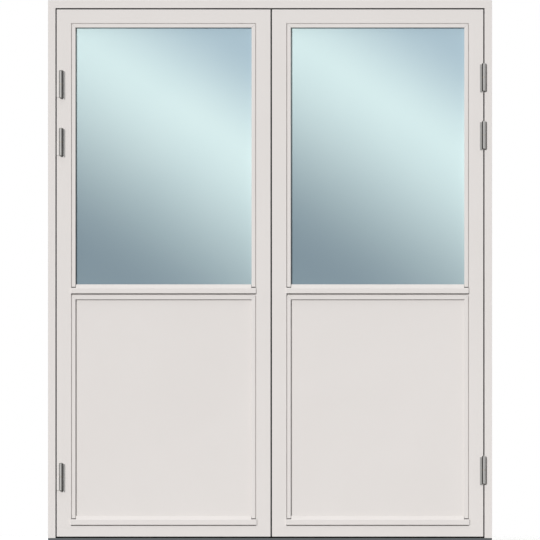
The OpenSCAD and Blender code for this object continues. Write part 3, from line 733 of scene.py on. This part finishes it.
class FinishHandles(bpy.types.Operator):
    """Brush the levers and their plates"""

    bl_idname = "frenchdoors.finish_handles"
    bl_label = "Finish the handles"

    def execute(self, context):
        satin = context.scene.door_metal.satin
        give(metal("satin_levers", satin, darker(satin), 0.26, stretch=(14, 1300, 1300), wear=0.5)[0],
             *[side + "_handle" for side in SIDES])
        give(metal("satin_plates", satin, darker(satin), 0.28, stretch=(1300, 1300, 14), wear=0.5)[0],
             *[side + "_handle_plate" for side in SIDES])
        return {"FINISHED"}


class FitSeals(bpy.types.Operator):
    """Finish the stop seals and glazing tapes, and fit a weather seal round each leaf"""

    bl_idname = "frenchdoors.fit_seals"
    bl_label = "Fit the seals"

    def execute(self, context):
        darks = context.scene.door_darks
        give(rubber("seal_rubber", darks.rubber, 900.0, 0.52, 0.00003),
             *[side + "_stop_seal" for side in SIDES])
        give(rubber("tape_foam", darks.tape, 1600.0, 0.8, 0.00008),
             *[side + "_glazing_tape" for side in SIDES])
        soft = rubber("weather_rubber", darks.rubber, 900.0, 0.5, 0.00003)
        # the two seals lie at different depths behind the outer face, so that their lips pass each other
        for side, depth in (("left", 0.0035), ("right", 0.0097)):
            low, high = LEAF_BOXES[side + "_leaf"]
            reach = [darks.seal_out, darks.lip_out] if side == "left" else [darks.lip_out, darks.seal_out]
            seal = ring_seal(side + "_weather_seal", low, high, reach + [darks.seal_out] * 2, depth, soft)
            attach(seal, side + "_leaf")
        return {"FINISHED"}


class SetStage(bpy.types.Operator):
    """Set up the camera, the lights and the floor"""

    bl_idname = "frenchdoors.set_stage"
    bl_label = "Set up the studio"

    def execute(self, context):
        scene = context.scene
        settings = scene.door_stage
        self.camera(scene, settings)
        self.lights(scene, settings)
        self.world(scene, settings)
        self.floor(scene, settings)
        scene.view_settings.view_transform = "Standard"
        return {"FINISHED"}

    def camera(self, scene, settings):
        """A long lens, level and square to the outer face."""
        lens = bpy.data.cameras.new("elevation")
        lens.sensor_width = 36
        lens.lens = 36 * settings.distance / settings.width
        lens.clip_start, lens.clip_end = 1, settings.distance * 3
        camera = bpy.data.objects.new("elevation", lens)
        camera.location = (0, OUTER_FACE - settings.distance, settings.height)
        camera.rotation_euler = (math.pi / 2, 0, 0)
        scene.collection.objects.link(camera)
        scene.camera = camera

    def lights(self, scene, settings):
        """The key light, a soft one from above and one for the inner side."""
        key_way = Vector((math.tan(settings.slant), 1, -math.tan(settings.pitch)))
        for name, energy, angle, towards in (
                ("key_light", settings.key, math.radians(3), key_way),
                ("top_light", settings.top, math.radians(50), Vector((0.1, 0.25, -1))),
                ("back_light", settings.back, math.radians(12), Vector((-0.5, -1, -0.45)))):
            data = bpy.data.lights.new(name, "SUN")
            data.energy, data.angle = energy, angle
            light = bpy.data.objects.new(name, data)
            light.rotation_euler = towards.to_track_quat("-Z", "Y").to_euler()
            scene.collection.objects.link(light)

    def world(self, scene, settings):
        """Dim, soft surroundings that look plain white."""
        world = bpy.data.worlds.new("studio")
        world.use_nodes = True
        tree = world.node_tree
        tree.nodes.clear()
        way = put(tree, "ShaderNodeSeparateXYZ",
                  {0: put(tree, "ShaderNodeTexCoord").outputs["Generated"]}).outputs
        front = spread(tree, way["Y"], 0.9, -0.9, 1.3, 1.25, "SMOOTHSTEP")
        over = spread(tree, way["Z"], -0.4, 0.8, 0.8, 1.2, "SMOOTHSTEP")
        level = maths(tree, "MULTIPLY", maths(tree, "MULTIPLY", front, over), settings.fill)
        rays = put(tree, "ShaderNodeLightPath").outputs
        gleam = spread(tree, rays["Is Glossy Ray"], 0.0, 1.0, 1.0, settings.gleam)
        around = put(tree, "ShaderNodeBackground",
                     {"Color": (1, 1, 1), "Strength": maths(tree, "MULTIPLY", level, gleam)})
        plain = put(tree, "ShaderNodeBackground", {"Color": (1, 1, 1), "Strength": 1.0})
        seen = maths(tree, "MAXIMUM", rays["Is Camera Ray"], rays["Is Transmission Ray"])
        mixed = put(tree, "ShaderNodeMixShader", {0: seen, 1: around.outputs[0], 2: plain.outputs[0]})
        put(tree, "ShaderNodeOutputWorld", {"Surface": mixed.outputs[0]})
        scene.world = world

    def floor(self, scene, settings):
        """A pale disc that fades away round the doors and throws little light back."""
        radius, fade_from, fade_to = 3.2, 1.1, 2.7
        shape = bmesh.new()
        bmesh.ops.create_circle(shape, cap_ends=True, segments=96, radius=radius)
        mesh = bpy.data.meshes.new("floor")
        shape.to_mesh(mesh)
        shape.free()
        floor = bpy.data.objects.new("floor", mesh)
        scene.collection.objects.link(floor)
        material = bpy.data.materials.new("pale_floor")
        material.use_nodes = True
        tree = material.node_tree
        tree.nodes.clear()
        place = put(tree, "ShaderNodeTexCoord").outputs["Object"]
        reach = put(tree, "ShaderNodeVectorMath", {0: place}, operation="LENGTH").outputs["Value"]
        fade = spread(tree, reach, fade_from, fade_to, interpolation="SMOOTHSTEP")
        seen = put(tree, "ShaderNodeLightPath").outputs["Is Camera Ray"]
        dim = put(tree, "ShaderNodeBsdfDiffuse", {"Color": darker(settings.floor, 0.3)})
        pale = put(tree, "ShaderNodeAddShader",
                   {0: put(tree, "ShaderNodeBsdfDiffuse", {"Color": settings.floor}).outputs[0],
                    1: put(tree, "ShaderNodeEmission", {"Strength": 0.3}).outputs[0]})
        lit = put(tree, "ShaderNodeMixShader", {0: seen, 1: dim.outputs[0], 2: pale.outputs[0]})
        clear = put(tree, "ShaderNodeBsdfTransparent")
        mixed = put(tree, "ShaderNodeMixShader", {0: fade, 1: lit.outputs[0], 2: clear.outputs[0]})
        put(tree, "ShaderNodeOutputMaterial", {"Surface": mixed.outputs[0]})
        mesh.materials.append(material)


OPERATORS = (PaintTimber, PaintPanels, Glaze, FinishSill, FinishHinges, FinishLocks,
             FinishHandles, FitSeals, SetStage)


class FrenchDoorsPanel(bpy.types.Panel):
    """The doors' settings, and a button for each group of pieces"""

    bl_idname = "VIEW3D_PT_french_doors"
    bl_label = "French Doors"
    bl_space_type = "VIEW_3D"
    bl_region_type = "UI"
    bl_category = "French Doors"

    def draw(self, context):
        for operator in OPERATORS:
            self.layout.operator(operator.bl_idname)
        for name, kind in GROUPS.items():
            box = self.layout.box()
            box.label(text=kind.__doc__)
            for field in kind.__annotations__:
                box.prop(getattr(context.scene, name), field)


def register():
    for name, kind in GROUPS.items():
        bpy.utils.register_class(kind)
        setattr(bpy.types.Scene, name, PointerProperty(type=kind))
    for kind in (*OPERATORS, FrenchDoorsPanel):
        bpy.utils.register_class(kind)


def unregister():
    for kind in (FrenchDoorsPanel, *reversed(OPERATORS)):
        bpy.utils.unregister_class(kind)
    for name, kind in reversed(GROUPS.items()):
        delattr(bpy.types.Scene, name)
        bpy.utils.unregister_class(kind)


def main():
    register()
    for operator in OPERATORS:
        group, call = operator.bl_idname.split(".")
        getattr(getattr(bpy.ops, group), call)()


if __name__ == "__main__":
    main()
